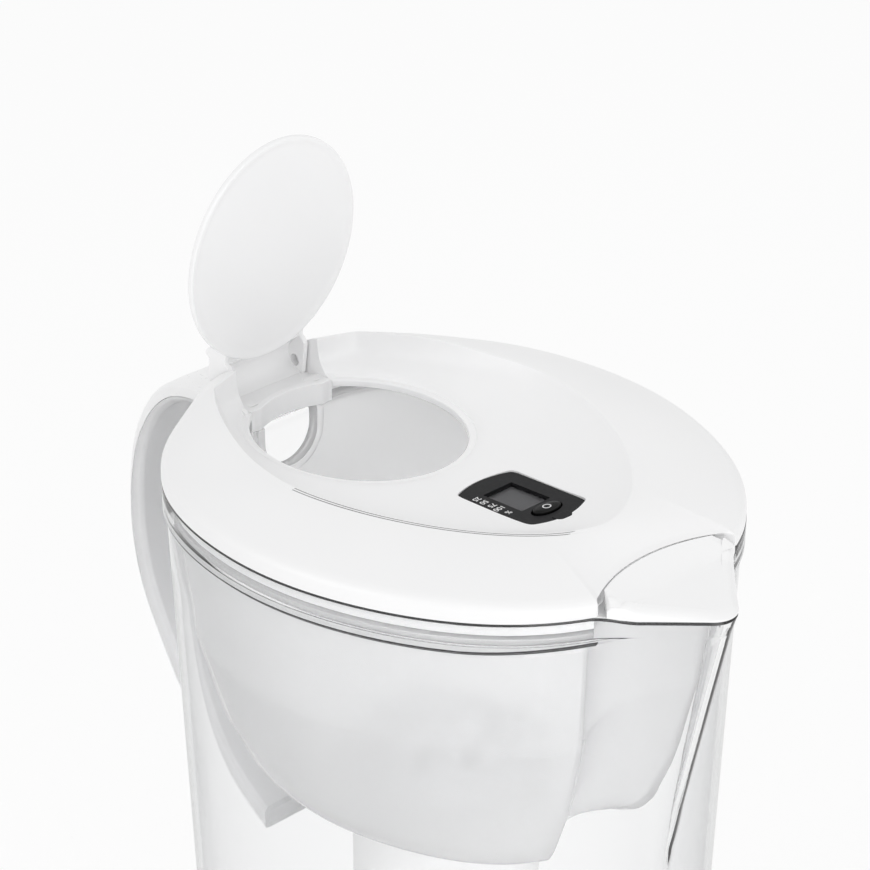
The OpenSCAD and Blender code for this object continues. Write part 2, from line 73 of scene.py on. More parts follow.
class Tree:
    """Adds nodes to a node tree, with links given as sockets and constants as plain values."""

    def __init__(self, tree):
        self.tree = tree

    def put(self, kind, settings=(), **inputs):
        made = self.tree.nodes.new("ShaderNode" + kind)
        for key, value in dict(settings).items():
            setattr(made, key, value)
        for key, value in inputs.items():
            name = key.replace("_", " ")
            target = made.inputs[int(key[1:])] if key[0] == "i" and key[1:].isdigit() else made.inputs[name]
            self.set(target, value)
        return made

    def set(self, target, value):
        if isinstance(value, bpy.types.NodeSocket):
            self.tree.links.new(value, target)
        else:
            target.default_value = value

    def maths(self, operation, a, b=0.0):
        return self.put("Math", {"operation": operation}, i0=a, i1=b).outputs[0]

    def ramp(self, fac, low, high, start=0.0, end=1.0):
        made = self.put("ValToRGB", Fac=fac)
        for element, at, color in zip(made.color_ramp.elements, (start, end), (low, high)):
            element.position = at
            element.color = (*color, 1)
        return made.outputs[0]

    def between(self, fac, start, end, low, high):
        made = self.put("MapRange", Value=fac, From_Min=start, From_Max=end, To_Min=low, To_Max=high)
        return made.outputs[0]

    def in_view(self):
        """1 for what the camera sees, also in gloss and through clear plastic.
        It is 0 for what lights the object."""
        rays = self.put("LightPath").outputs
        return self.maths("MAXIMUM", rays["Is Camera Ray"],
            self.maths("MAXIMUM", rays["Is Transmission Ray"], rays["Is Glossy Ray"]))


def new_material(name):
    made = bpy.data.materials.new(name)
    made.use_nodes = True
    tree = Tree(made.node_tree)
    return made, tree, made.node_tree.nodes["Principled BSDF"], made.node_tree.nodes["Material Output"]


# ---- World, lights and floor ----

WORLD_LIGHT = 0.72       # strength of the world's light on the object; what is seen of it is plain white
FLOOR_GLOW = 0.86        # share of plain white in what is seen of the floor

world = bpy.data.worlds.new("studio")
scene.world = world
world.use_nodes = True
world.node_tree.nodes.clear()
sky = Tree(world.node_tree)
sky.put("OutputWorld", Surface=sky.put("MixShader", Fac=sky.in_view(),
    i1=sky.put("Background", Color=(1, 1, 1, 1), Strength=WORLD_LIGHT).outputs[0],
    i2=sky.put("Background", Color=(1, 1, 1, 1), Strength=1.0).outputs[0]).outputs[0])


def lamp(name, at, aim, size, watts):
    """A square area lamp, in metres and watts."""
    data = bpy.data.lights.new(name, "AREA")
    data.shape = "SQUARE"
    data.size = size
    data.energy = watts
    made = bpy.data.objects.new(name, data)
    scene.collection.objects.link(made)
    made.location = at
    made.rotation_euler = (Vector(aim) - Vector(at)).to_track_quat("-Z", "Y").to_euler()


lamp("key", (-0.30, -1.05, 0.95), (0, 0, 0.25), 0.8, 2.6)
lamp("front", (1.35, -0.45, 0.50), (0, 0, 0.27), 0.9, 5.4)
lamp("back", (-0.20, 0.75, 1.20), (0, 0, 0.25), 1.0, 1.3)

bpy.ops.mesh.primitive_plane_add(size=8, location=(0, 0, -0.0002))     # just under the object's foot
floor = bpy.context.object
floor.name = "floor"
material, tree, shader, output = new_material("floor")
tone = tree.put("TexNoise", Scale=3.0, Detail=2.0).outputs["Fac"]
shader.inputs["Roughness"].default_value = 0.9
tree.set(shader.inputs["Base Color"], tree.ramp(tone, (0.93, 0.93, 0.93), (0.94, 0.94, 0.94)))
glow = tree.put("Emission", Color=(1, 1, 1, 1), Strength=1.0).outputs[0]
tree.set(output.inputs["Surface"], tree.put("MixShader",
    Fac=tree.maths("MULTIPLY", tree.in_view(), FLOOR_GLOW), i1=shader.outputs[0], i2=glow).outputs[0])
floor.data.materials.append(material)

# ---- Materials ----


def moulded(name, color, rough, grain=900.0, bump=0.02, drift=0.012, gloss=0.5):
    """Moulded plastic: a fine texture in its gloss and surface, and a slight drift in its colour."""
    made, tree, shader, _ = new_material(name)
    place = tree.put("TexCoord").outputs["Object"]
    fine = tree.put("TexNoise", Vector=place, Scale=grain, Detail=3.0).outputs["Fac"]
    broad = tree.put("TexNoise", Vector=place, Scale=14.0, Detail=2.0).outputs["Fac"]
    dark_end = tuple(max(0, c - drift) for c in color)
    light_end = tuple(min(1, c + drift) for c in color)
    tree.set(shader.inputs["Base Color"], tree.ramp(broad, dark_end, light_end, 0.3, 0.7))
    tree.set(shader.inputs["Roughness"], tree.between(fine, 0.3, 0.7, rough - 0.03, rough + 0.03))
    tree.set(shader.inputs["Normal"],
        tree.put("Bump", Strength=bump, Distance=0.0002, Height=fine).outputs[0])
    shader.inputs["Specular IOR Level"].default_value = gloss
    return made


def clear_plastic(name, face, edge, rough=0.02, ior=1.46, milky=0.0):
    """See-through plastic that lets light pass to what it holds.
    It looks darker where it is seen edge on."""
    made, tree, shader, output = new_material(name)
    place = tree.put("TexCoord").outputs["Object"]
    drift = tree.put("TexNoise", Vector=place, Scale=9.0, Detail=1.0).outputs["Fac"]
    facing = tree.put("LayerWeight", Blend=0.5).outputs["Facing"]
    turned = tree.maths("POWER", facing, 3.0)
    tree.set(shader.inputs["Base Color"], tree.ramp(turned, face, edge))
    tree.set(shader.inputs["Roughness"], tree.between(drift, 0.3, 0.7, rough, rough + 0.015))
    shader.inputs["IOR"].default_value = ior
    shader.inputs["Transmission Weight"].default_value = 1 - milky
    through = tree.put("BsdfTransparent", Color=(*face, 1)).outputs[0]
    shadow = tree.put("LightPath").outputs["Is Shadow Ray"]
    tree.set(output.inputs["Surface"],
        tree.put("MixShader", Fac=shadow, i1=shader.outputs[0], i2=through).outputs[0])
    return made


def brushed(name, color, rough, stretch=(1, 1, 1)):
    """Metal with fine marks along one direction."""
    made, tree, shader, _ = new_material(name)
    place = tree.put("TexCoord").outputs["Object"]
    along = tree.put("Mapping", Vector=place, Scale=stretch).outputs[0]
    marks = tree.put("TexNoise", Vector=along, Scale=700.0, Detail=4.0).outputs["Fac"]
    tree.set(shader.inputs["Base Color"], tree.ramp(marks, tuple(c*0.85 for c in color), color, 0.3, 0.7))
    tree.set(shader.inputs["Roughness"], tree.between(marks, 0.3, 0.7, rough - 0.08, rough + 0.08))
    tree.set(shader.inputs["Normal"],
        tree.put("Bump", Strength=0.1, Distance=0.0001, Height=marks).outputs[0])
    shader.inputs["Metallic"].default_value = 1.0
    return made


def grains(name, dark, light, size):
    """Packed grains of one size, in metres."""
    made, tree, shader, _ = new_material(name)
    place = tree.put("TexCoord").outputs["Object"]
    cells = tree.put("TexVoronoi", Vector=place, Scale=1/size)
    tree.set(shader.inputs["Base Color"], tree.ramp(cells.outputs["Distance"], light, dark, 0.1, 0.7))
    tree.set(shader.inputs["Normal"], tree.put("Bump", {"invert": True}, Strength=0.6, Distance=0.0006,
        Height=cells.outputs["Distance"]).outputs[0])
    shader.inputs["Roughness"].default_value = 0.7
    return made


def mesh_weave(name, thread, gap, pitch):
    """Fine woven screen, with its pitch in metres."""
    made, tree, shader, _ = new_material(name)
    place = tree.put("TexCoord").outputs["Object"]
    axes = tree.put("SeparateXYZ", Vector=place).outputs
    waves = [tree.maths("ABSOLUTE", tree.maths("SINE", tree.maths("MULTIPLY", axes[k], pi/pitch)))
        for k in (0, 1)]
    height = tree.maths("MAXIMUM", *waves)
    tree.set(shader.inputs["Base Color"], tree.ramp(height, gap, thread, 0.55, 0.8))
    tree.set(shader.inputs["Normal"],
        tree.put("Bump", Strength=0.7, Distance=0.0003, Height=height).outputs[0])
    shader.inputs["Roughness"].default_value = 0.55
    return made


MATERIALS = {
    "white_lid": moulded("white_lid", (0.925, 0.925, 0.928), 0.36),
    # Painted shade: dark grey for the shadow inside the lid's fine grooves
    "groove_painted_shade": moulded("groove_painted_shade", (0.34, 0.34, 0.345), 0.6),
    "white_flip": moulded("white_flip", (0.93, 0.93, 0.933), 0.22),
    "white_handle": moulded("white_handle", (0.925, 0.925, 0.928), 0.3),
    "clear_jug": clear_plastic("clear_jug", (0.985, 0.986, 0.988), (0.3, 0.31, 0.32), ior=1.3),
    # Painted shade: a dark material for the lines at the jug's rim and collar, in place of dark reflections
    # in the clear edges
    "jug_edge_painted_shade": clear_plastic("jug_edge_painted_shade", (0.02, 0.02, 0.021), (0.01, 0.01, 0.01), 0.15, milky=0.7),
    "smoke_liner": clear_plastic("smoke_liner", (0.985, 0.986, 0.99), (0.9, 0.903, 0.91), 0.3, ior=1.3,
        milky=0.55),
    "funnel_grey": clear_plastic("funnel_grey", (0.985, 0.985, 0.988), (0.935, 0.936, 0.942), 0.2, ior=1.3,
        milky=0.4),
    "cartridge_white": moulded("cartridge_white", (0.83, 0.83, 0.83), 0.5, bump=0.05),
    "cap_white": moulded("cap_white", (0.8, 0.8, 0.81), 0.5, bump=0.05),
    "seal_rubber": moulded("seal_rubber", (0.04, 0.04, 0.042), 0.7, bump=0.08, drift=0.01),
    "screen_mesh": mesh_weave("screen_mesh", (0.8, 0.8, 0.8), (0.25, 0.25, 0.26), 0.0008),
    "filter_grains": grains("filter_grains", (0.02, 0.02, 0.02), (0.22, 0.21, 0.2), 0.0012),
    "bezel_grey": moulded("bezel_grey", (0.011, 0.011, 0.012), 0.55, bump=0.06, drift=0.002, gloss=0.12),
    "window_clear": clear_plastic("window_clear", (0.93, 0.93, 0.94), (0.6, 0.6, 0.62), 0.04, ior=1.12),
    "lcd_grey": moulded("lcd_grey", (0.062, 0.062, 0.064), 0.5, grain=2500.0, bump=0.01, drift=0.008,
        gloss=0.2),
    "board_green": moulded("board_green", (0.03, 0.2, 0.08), 0.35, grain=500.0, bump=0.05, drift=0.02),
    "switch_metal": brushed("switch_metal", (0.62, 0.62, 0.62), 0.35),
    "button_black": moulded("button_black", (0.003, 0.003, 0.003), 0.3, bump=0.005, drift=0.001, gloss=0.06),
    "cell_steel": brushed("cell_steel", (0.7, 0.7, 0.71), 0.3, (1, 12, 1)),
    "clip_brass": brushed("clip_brass", (0.75, 0.62, 0.33), 0.3, (1, 12, 1)),
    "print_white": moulded("print_white", (0.8, 0.8, 0.8), 0.6, drift=0.03),
}

# The solids that the scene keeps as they are take the same materials
for part in frame["record"]["subparts"]:
    carried = frame["nodes"][part["node"]].data.materials
    carried.clear()
    carried.append(MATERIALS[part["material_slot"]])

# ---- Mesh helpers: points are in millimetres from the jug's axis and rim ----


def smooth(obj, angle=38):
    work = bmesh.new()
    work.from_mesh(obj.data)
    bmesh.ops.recalc_face_normals(work, faces=work.faces)
    work.to_mesh(obj.data)
    work.free()
    obj.data.polygons.foreach_set("use_smooth", [True]*len(obj.data.polygons))
    obj.data.set_sharp_from_angle(angle=radians(angle))


def solid(name, points, faces):
    mesh = bpy.data.meshes.new(name)
    world_points = (np.asarray(points, float) + (JUG_X, 0, RIM_H))*MM
    mesh.from_pydata(world_points.tolist(), [], faces)
    made = bpy.data.objects.new(name, mesh)
    scene.collection.objects.link(made)
    smooth(made)
    return made


def skin(name, rings, loop=False):
    """A closed loop of rings, or a stack of rings with both ends capped."""
    n, m = len(rings[0]), len(rings)
    faces = []
    for j in range(m if loop else m - 1):
        low, high = j*n, (j + 1)%m*n
        faces += [(low + i, low + (i + 1)%n, high + (i + 1)%n, high + i) for i in range(n)]
    if not loop:
        faces += [tuple(range(n)), tuple(range((m - 1)*n, m*n))]
    return solid(name, np.concatenate(rings), faces)


def rounded(corners, segments=4, loop=False):
    """Rings with the profile's corners rounded. Corners are (ring, radius), and a radius of 0 stays sharp.
    A radius may be one number, or one for each point of the ring."""
    rings = [ring for ring, _ in corners]
    made = []
    for i, (ring, radius) in enumerate(corners):
        if np.max(radius) == 0 or (not loop and i in (0, len(rings) - 1)):
            made.append(ring)
            continue
        ends = []
        for other in (rings[i - 1], rings[(i + 1)%len(rings)]):
            step = other - ring
            length = np.maximum(np.linalg.norm(step, axis=1, keepdims=True), 1e-9)
            ends.append(ring + step*np.minimum(np.reshape(radius, (-1, 1))/length, 0.48))
        for s in np.linspace(0, 1, segments + 1):
            made.append((1 - s)**2*ends[0] + 2*s*(1 - s)*ring + s*s*ends[1])
    return made


def rounded_outline(points, radius, segments=4):
    """A closed outline with its corners rounded, by one radius or by one for each point."""
    points = [np.array(p, float) for p in points]
    radii = np.broadcast_to(radius, len(points))
    made = []
    for i, (p, radius) in enumerate(zip(points, radii)):
        if radius == 0:
            made.append(p)
            continue
        ends = []
        for other in (points[i - 1], points[(i + 1)%len(points)]):
            step = other - p
            ends.append(p + step*min(radius/np.linalg.norm(step), 0.48))
        for s in np.linspace(0, 1, segments + 1):
            made.append((1 - s)**2*ends[0] + 2*s*(1 - s)*p + s*s*ends[1])
    return made


def prism(name, points):
    """A solid between two outlines with the same number of points, given one after the other."""
    n = len(points)//2
    walls = [(i, (i + 1)%n, n + (i + 1)%n, n + i) for i in range(n)]
    return solid(name, points, [tuple(range(n)), tuple(range(n, 2*n))] + walls)


def plate(name, outline, y0, y1, place=lambda p: p):
    """A plate across Y from an outline in X and Z."""
    return prism(name, [place((x, y, z)) for y in (y0, y1) for x, z in outline])


def slab(name, outline, low, high, place=lambda p: p):
    """A slab between two heights from an outline in X and Y."""
    return prism(name, [place((x, y, z)) for z in (low, high) for x, y in outline])


def across(name, outline, x0, x1):
    """A plate across X from an outline in Y and Z."""
    return prism(name, [(x, y, z) for x in (x0, x1) for y, z in outline])


def circle(radius, sides, x=0.0, y=0.0):
    return [(x + radius*cos(2*pi*i/sides), y + radius*sin(2*pi*i/sides)) for i in range(sides)]


def box(name, low, high, place=lambda p: p):
    return slab(name, [(low[0], low[1]), (high[0], low[1]), (high[0], high[1]), (low[0], high[1])],
        low[2], high[2], place)


def rod(name, at, radius, y0, y1, place=lambda p: p):
    return plate(name, circle(radius, 48, *at), y0, y1, place)


def mirrored(side, near, far):
    """A span of Y on one side (-1 or 1) of the middle, lower end first."""
    return sorted((side*near, side*far))


def applied(obj):
    bpy.context.view_layer.update()
    done = obj.evaluated_get(bpy.context.evaluated_depsgraph_get())
    mesh = bpy.data.meshes.new_from_object(done)
    obj.modifiers.clear()
    obj.data = mesh
    smooth(obj)
    return obj


def combine(obj, tools, operation):
    for tool in tools:
        step = obj.modifiers.new(operation.lower(), "BOOLEAN")
        step.object = tool
        step.operation = operation
        step.solver = "EXACT"
    applied(obj)
    for tool in tools:
        bpy.data.objects.remove(tool)
    return obj


def bevelled(obj, width, angle=40):
    step = obj.modifiers.new("bevel", "BEVEL")
    step.width = width*MM
    step.segments = 3
    step.limit_method = "ANGLE"
    step.angle_limit = radians(angle)
    return applied(obj)


def joined(name, pieces):
    """One object from several, each kept as it is."""
    work = bmesh.new()
    for piece in pieces:
        work.from_mesh(piece.data)
        bpy.data.objects.remove(piece)
    mesh = bpy.data.meshes.new(name)
    work.to_mesh(mesh)
    work.free()
    made = bpy.data.objects.new(name, mesh)
    scene.collection.objects.link(made)
    smooth(made)
    return made


def finish_piece(obj, body, slot, nodes, material=None):
    """Gives a piece its normals and material.
    It hangs the piece under its body and hides the solids it replaces."""
    even = obj.modifiers.new("even_normals", "WEIGHTED_NORMAL")
    even.keep_sharp = True
    obj.data.materials.clear()
    obj.data.materials.append(MATERIALS[material or slot])
    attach(obj, body)
    if nodes:
        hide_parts(*nodes)


def paint(obj, material, test):
    """Gives another material to the faces whose middle, in millimetres, passes the test."""
    obj.data.materials.append(MATERIALS[material])
    centres = np.array([f.center for f in obj.data.polygons])/MM - (JUG_X, 0, RIM_H)
    obj.data.polygons.foreach_set("material_index", np.where(test(centres.T), 1, 0).astype(np.int32))


def lowered(obj, drop):
    """Moves points down by a drop that depends on where they are."""
    points = np.array([v.co for v in obj.data.vertices])
    points[:, 2] -= MM*drop((points/MM - (JUG_X, 0, RIM_H)).T)
    obj.data.vertices.foreach_set("co", points.ravel())
    obj.data.update()
    return obj


# ---- Plan curves: radii from the jug's axis, at angles T in degrees from the spout's tip ----

half = np.concatenate([np.arange(0.4, 6, 0.4), np.arange(6, 18.5, 0.6), [18.6, 19, 19.6],
    np.arange(20.4, 179, 1.6)])
T = np.concatenate([[0], half, [180], -half[::-1]])
COS, SIN = np.cos(np.radians(T)), np.sin(np.radians(T))
WAVES = {2: 0.054, 3: 0.028, 4: -0.013, 5: 0.008, 6: -0.005}     # make the rim's circle egg-shaped
SPOUT_HALF = 45          # degrees to each side of the tip
BLEND = 1.4              # softens the corner where the spout leaves the jug
# The seam of lid and flap: nearest point, radius, and half its angle
ARC_X, ARC_R, ARC_T = 75.8, 53.2, 18.4
DIP, DIP_FROM, DIP_OVER = 2.6, 21, 9        # fall of the rim at the spout: depth, and the angles it takes
REAR_BULGE, REAR_SPREAD = 14.5, 18.6        # the lid's reach over the handle, and its spread in degrees


def mix(a, b, s):
    return a*(1 - s) + b*s


def ease(s):
    """From 0 to 1 with soft ends."""
    s = np.clip(s, 0, 1)
    return s*s*(3 - 2*s)


def angle_of(p):
    return np.degrees(np.arctan2(p[1], p[0]))


def outline_r(t=T):
    """The rim without its spout."""
    return RIM_R*(1 + sum(size*np.cos(np.radians(k*t)) for k, size in WAVES.items()))


def spout_r(t, apex, tip):
    """A right-angled corner at the apex, rounded by the radius of the tip."""
    c = apex - tip*sqrt(2)
    touch = degrees(atan2(tip/sqrt(2), c + tip/sqrt(2)))
    cosine, sine = np.cos(np.radians(t)), np.abs(np.sin(np.radians(t)))
    nose = c*cosine + np.sqrt(np.maximum(0, tip*tip - (c*sine)**2))
    return np.where(np.abs(t) >= SPOUT_HALF, 0, np.where(np.abs(t) < touch, nose, apex/(cosine + sine)))


def jug_r(z, inset, step=0, t=T):
    """The jug at a height, set in all round by the inset, and beside the spout also by the step."""
    body = outline_r(t) - inset - step - tan(radians(WALL_DRAFT))*max(0, -z - COLLAR_H)
    apex = SPOUT_APEX - tan(radians(SPOUT_RAKE))*max(0, -z)
    spout = spout_r(t, apex - sqrt(2)*inset, max(2.5, SPOUT_TIP - inset))
    return (body + spout + np.sqrt((body - spout)**2 + BLEND**2))/2


def rim_dip(t):
    """How far the rim falls towards the spout's tip."""
    return DIP*ease((DIP_FROM - np.abs(t))/DIP_OVER)


def arc_edge_r(t=T):
    """The seam of lid and flap, an arc round a point beyond the spout's tip."""
    c = ARC_X + ARC_R
    return c*np.cos(np.radians(t)) - np.sqrt(np.maximum(0, ARC_R**2 - (c*np.sin(np.radians(t)))**2))


def inner_r(t=T):
    """The plan that funnel and lid share: the rim, cut off by the flap's seam."""
    return np.where(np.abs(t) < ARC_T, np.minimum(outline_r(t), arc_edge_r(t)), outline_r(t))


def rear_reach(t=T):
    """How far the lid reaches past the rim, over the handle."""
    return REAR_BULGE*np.exp(-((180 - np.abs(t))/REAR_SPREAD)**2)


def ring(r, z, t=T):
    return np.stack([r*np.cos(np.radians(t)), r*np.sin(np.radians(t)), np.broadcast_to(z, t.shape)], axis=1)


def jug_ring(z, inset, step=0):
    return ring(jug_r(z, inset, step), z)


def inner_ring(z, inset):
    return ring(inner_r() - inset, z)


# ---- Jug ----

FOOT = 9                 # radius of the foot's edge
FLOOR_T = 3
COLLAR_STEP = 1          # how far the wall stands back under the collar
EDGE = 0.7               # height of the painted shade line at the rim
COLLAR_EDGE = (-COLLAR_H - 0.95, -COLLAR_H + 0.5)     # heights of the painted shade line at the collar's lower end
EDGE_W = 1.4             # width of both painted shade lines, from outside
LEDGE_IN, LEDGE_STEP, LEDGE_Z = 2.4, 2.2, -8.5        # the ledge inside that the funnel's flange stands on
COLLAR_RISE = 1.3        # rise of the collar's lower end near the spout

foot = [(jug_ring(-RIM_H + FOOT*(1 - cos(a)), FOOT*(1 - sin(a)), COLLAR_STEP), 0)
    for a in np.radians(np.arange(0, 90, 9))]
outside = [(jug_ring(z, 0, COLLAR_STEP), 0) for z in (-236, *range(-225, -15, 15), -13)]
collar = [(jug_ring(-COLLAR_H - 0.9, 0, COLLAR_STEP), 0.3), (jug_ring(-COLLAR_H, 0), 0.3),
    (jug_ring(-COLLAR_H + 0.55, 0), 0), (jug_ring(-EDGE, 0), 0), (jug_ring(0, 0.5), 0),
    (jug_ring(0, LEDGE_IN - 0.4), 0.2), (jug_ring(-0.4, LEDGE_IN), 0), (jug_ring(LEDGE_Z, LEDGE_IN), 0.4),
    (jug_ring(LEDGE_Z - 0.2, LEDGE_IN, LEDGE_STEP), 0.3),
    (jug_ring(LEDGE_Z - 1.5, LEDGE_IN, LEDGE_STEP), 0.5)]
inside = [(jug_ring(z, WALL, COLLAR_STEP), 0) for z in (-14, *range(-30, -225, -15), -232)]
inner_foot = 0.9*FOOT
floor_inside = [(jug_ring(-RIM_H + FLOOR_T + inner_foot*(1 - cos(a)),
    WALL + inner_foot*(1 - sin(a)), COLLAR_STEP), 0) for a in np.radians(np.arange(81, -1, -9))]
jug = skin("jug", rounded(foot + outside + collar + inside + floor_inside, 3))
finish_piece(jug, "jug", "clear_jug", ["jug_shell"])


def painted_edge_shade(p):
    """Painted shade: the dark lines round the rim and, outside the spout, round the collar's lower end."""
    t = angle_of(p)
    outer = np.hypot(p[0], p[1]) > jug_r(0, EDGE_W, 0, t)
    rim = (p[2] > -EDGE) & (p[2] < -0.01)
    collar_end = (p[2] > COLLAR_EDGE[0]) & (p[2] < COLLAR_EDGE[1]) & (np.abs(t) > 18.3)
    return outer & (rim | collar_end)


# Painted shade: the outer faces at the rim and at the collar's lower end take the dark material
paint(jug, "jug_edge_painted_shade", painted_edge_shade)


def collar_shape(p):
    """Near the spout the rim falls and the collar's lower end rises."""
    t = angle_of(p)
    by_spout = ease((SPOUT_HALF - np.abs(t))/25)
    outer = np.hypot(p[0], p[1]) > jug_r(0, 1.8, 0, t)
    low_end = np.clip(1 - np.abs(p[2] + COLLAR_H)/1.6, 0, 1)**0.3
    return rim_dip(t)*np.clip((p[2] + COLLAR_H)/8, 0, 1) - COLLAR_RISE*by_spout*outer*low_end


lowered(jug, collar_shape)

# ---- Handle ----

HANDLE_PATH = [(-80, -2.2), (-92, -2.2), (-101, -2), (-110, -2.6), (-120, -6), (-128.5, -13),
    (-135, -22.8), (-139.4, -34), (-142, -48), (-142.6, -62), (-141.3, -75), (-138.4, -86.5),
    (-134, -96.5), (-128.4, -106.5), (-121.2, -118.5), (-110, -133), (-96, -146), (-76, -158)]


def spline(points, steps):
    points = np.array(points, float)
    padded = np.concatenate([points[:1], points, points[-1:]])
    made = []
    for i in range(len(points) - 1):
        a, b, c, d = padded[i:i + 4]
        for s in np.arange(steps)/steps:
            made.append((2*b + (c - a)*s + (2*a - 5*b + 4*c - d)*s**2 + (3*b - a - 3*c + d)*s**3)/2)
    return np.array(made + [points[-1]])


STEPS = 5                # points of the sweep between two points of the path
SKIRT_BASE, SKIRT_MORE, SKIRT_RUN = 1.2, 3.6, 14      # depth of the white shell's sides, deeper along its top
line = spline(HANDLE_PATH, STEPS)
tangent = np.gradient(line, axis=0)
tangent /= np.linalg.norm(tangent, axis=1, keepdims=True)
inward = np.stack([-tangent[:, 1], tangent[:, 0]], axis=1)


def swept(name, profile):
    """A sweep along the handle's line of a profile that is rounded at its corners.
    The profile's points are [distance across, depth to the jug]."""
    rings = []
    for i, (at, into) in enumerate(zip(line, inward)):
        skirt = SKIRT_BASE + SKIRT_MORE*np.exp(-(2*i/STEPS/SKIRT_RUN)**4)
        outline = rounded_outline(*profile(skirt), 3)
        rings.append(np.array([(at[0] + into[0]*q, y, at[1] + into[1]*q) for y, q in outline]))
    return skin(name, rings)


def cap_profile(skirt):
    """The white shell's section, and the radius of its corners."""
    h, c, under = HANDLE_W/2, min(1.5, skirt - 0.2), 0.5*skirt + 0.4
    return [(-h, skirt), (-h, c), (-h + 0.6, 0.4*c), (-h + 2, 0.05), (-h*0.4, -0.25), (h*0.4, -0.25),
        (h - 2, 0.05), (h - 0.6, 0.4*c), (h, c), (h, skirt), (h - 2, skirt), (h - 2.2, under),
        (-h + 2.2, under), (-h + 2, skirt)], 0.3


def liner_profile(skirt):
    """The clear liner's section, and the radius of its corners."""
    h, e, d = HANDLE_W/2 - 0.1, skirt + 0.05, HANDLE_D
    return [(-h, e), (-h + 2, e), (-h + 2.1, d - 1.9), (h - 2.1, d - 1.9), (h - 2, e), (h, e),
        (h, d - 1.4), (h - 1.4, d), (-h + 1.4, d), (-h, d - 1.4)], 0.5


def jug_block():
    """The space inside the jug's outer face, cut from what meets the jug."""
    heights = (-200, -120, -60, -30, -10.4, -COLLAR_H, 3)
    return skin("jug_block", [jug_ring(z, 0, COLLAR_STEP*(z < -COLLAR_H)) for z in heights])


handle = combine(swept("handle_cap", cap_profile), [jug_block()], "DIFFERENCE")
finish_piece(handle, "jug", "white_handle", ["handle_shell"])
liner = combine(swept("handle_liner_shell", liner_profile), [jug_block()], "DIFFERENCE")
finish_piece(liner, "jug", "smoke_liner", ["handle_liner"])

# ---- Funnel ----

FLOOR_TOP, FLOOR_LOW, FUNNEL_BEND = -98, -100, -48
FUNNEL_T, FUNNEL_IN = 1.8, 6.2       # wall, and how far its top stands inside the rim
UPPER_SLOPE, LOWER_SLOPE = 3, 15     # degrees, above and below the bend
WELL_R, WELL_T, WELL_LOW, CARTRIDGE_X = 31, 2, -112, -4
FLANGE_LOW, FLANGE_TOP, FLANGE_IN = -7.9, -6.1, 2.9
NOTCH_R, NOTCH_Z, NOTCH_BEAD = 11, -12, 3


def funnel_inset(z):
    upper, lower = FLANGE_LOW - max(z, FUNNEL_BEND), max(0, FUNNEL_BEND - z)
    return FUNNEL_IN + tan(radians(UPPER_SLOPE))*upper + tan(radians(LOWER_SLOPE))*lower


def funnel_ring(z, extra):
    return inner_ring(z, funnel_inset(z) + extra)


def floor_ring(z, extra):
    return inner_ring(z, funnel_inset(FLOOR_LOW) + extra)


cup_outside = [(floor_ring(FLOOR_LOW, 12), 3), (floor_ring(FLOOR_LOW, 11.9), 3),
    (floor_ring(FLOOR_LOW + 2.2, 5), 3), (floor_ring(FLOOR_LOW + 8, 1), 3),
    (funnel_ring(-75, 0), 0), (funnel_ring(-47.5, 0), 2), (funnel_ring(-30, 0), 0)]
flange = [(inner_ring(FLANGE_LOW, FUNNEL_IN), 0.5), (inner_ring(FLANGE_LOW, FLANGE_IN), 0.3),
    (inner_ring(FLANGE_TOP, FLANGE_IN), 0.3), (inner_ring(FLANGE_TOP, FUNNEL_IN + FUNNEL_T), 0.7)]
cup_inside = [(funnel_ring(-30, FUNNEL_T), 0), (funnel_ring(-47.5, FUNNEL_T), 2),
    (funnel_ring(-75, FUNNEL_T), 0), (floor_ring(FLOOR_LOW + 8.6, 2.8), 3),
    (floor_ring(FLOOR_LOW + 3.9, 6.4), 3), (floor_ring(FLOOR_TOP, 13), 3)]
cup = skin("funnel", rounded(cup_outside + flange + cup_inside))


def notch_outline(r, top=FLANGE_TOP):
    """The finger notch at the rear: a U, open at the top."""
    arc = [(r*cos(a), NOTCH_Z + r*sin(a)) for a in np.radians(np.arange(180, 361, 7.5))]
    return arc + [(r, top), (-r, top)]


combine(cup, [bevelled(across("notch_bead", notch_outline(NOTCH_R + NOTCH_BEAD), -78.2, -74.2), 0.8),
    slab("well", circle(WELL_R + WELL_T, 96, CARTRIDGE_X), WELL_LOW, FLOOR_TOP - 0.01)], "UNION")
combine(cup, [across("notch", notch_outline(NOTCH_R, 10), -90, -66),
    slab("well_bore", circle(WELL_R, 96, CARTRIDGE_X), WELL_LOW - 1, FLOOR_TOP + 30)], "DIFFERENCE")
finish_piece(cup, "funnel", "funnel_grey", ["funnel_shell"])

# ---- Lid ----

CREST_X, CREST_A, CREST_B, CREST_POWER, CREST_MARGIN = -16.4, 77.3, 52.8, 1.72, 8
OPENING_X = -42.9
SEAT_W = 3
BRIM, BRIM_MORE, BRIM_IN = 5, 1.2, 2.6      # the lid's outer edge: height, rise away from the flap, and width
FLAP_SIDE, FLAP_FADE = 18.8, 1.5            # degrees: where the lid's edge turns into its seam with the flap
SEAM_Z, SEAM_GAP = 4.75, 0.25               # the flap's height at the seam, and the gap in plan
SKIRT_OUT, SKIRT_IN, SKIRT_LOW = 3, 5.2, -5
HINGE = (-88.8, 4)
PIN_R, RUNNING = 2.5, 0.07
CHEEK_Y, WEB_Y = (14.6, 16.3), (16.9, 18.9)
NOTCH_FRONT = -71.8
GROOVES = ((1.7, 0.4), (0.75, 0.25))        # two fine grooves: place outside the crest, and depth
GROOVE_TOP, GROOVE_LOW = 0.22, 0.17         # half widths
GROOVE_SLOPE = 20                           # the grooves lie closer where the slope is shorter than this
GROOVE_REAR, GROOVE_FRONT = (-20, 25), (61, 8)     # X of each end, and the length over which it fades
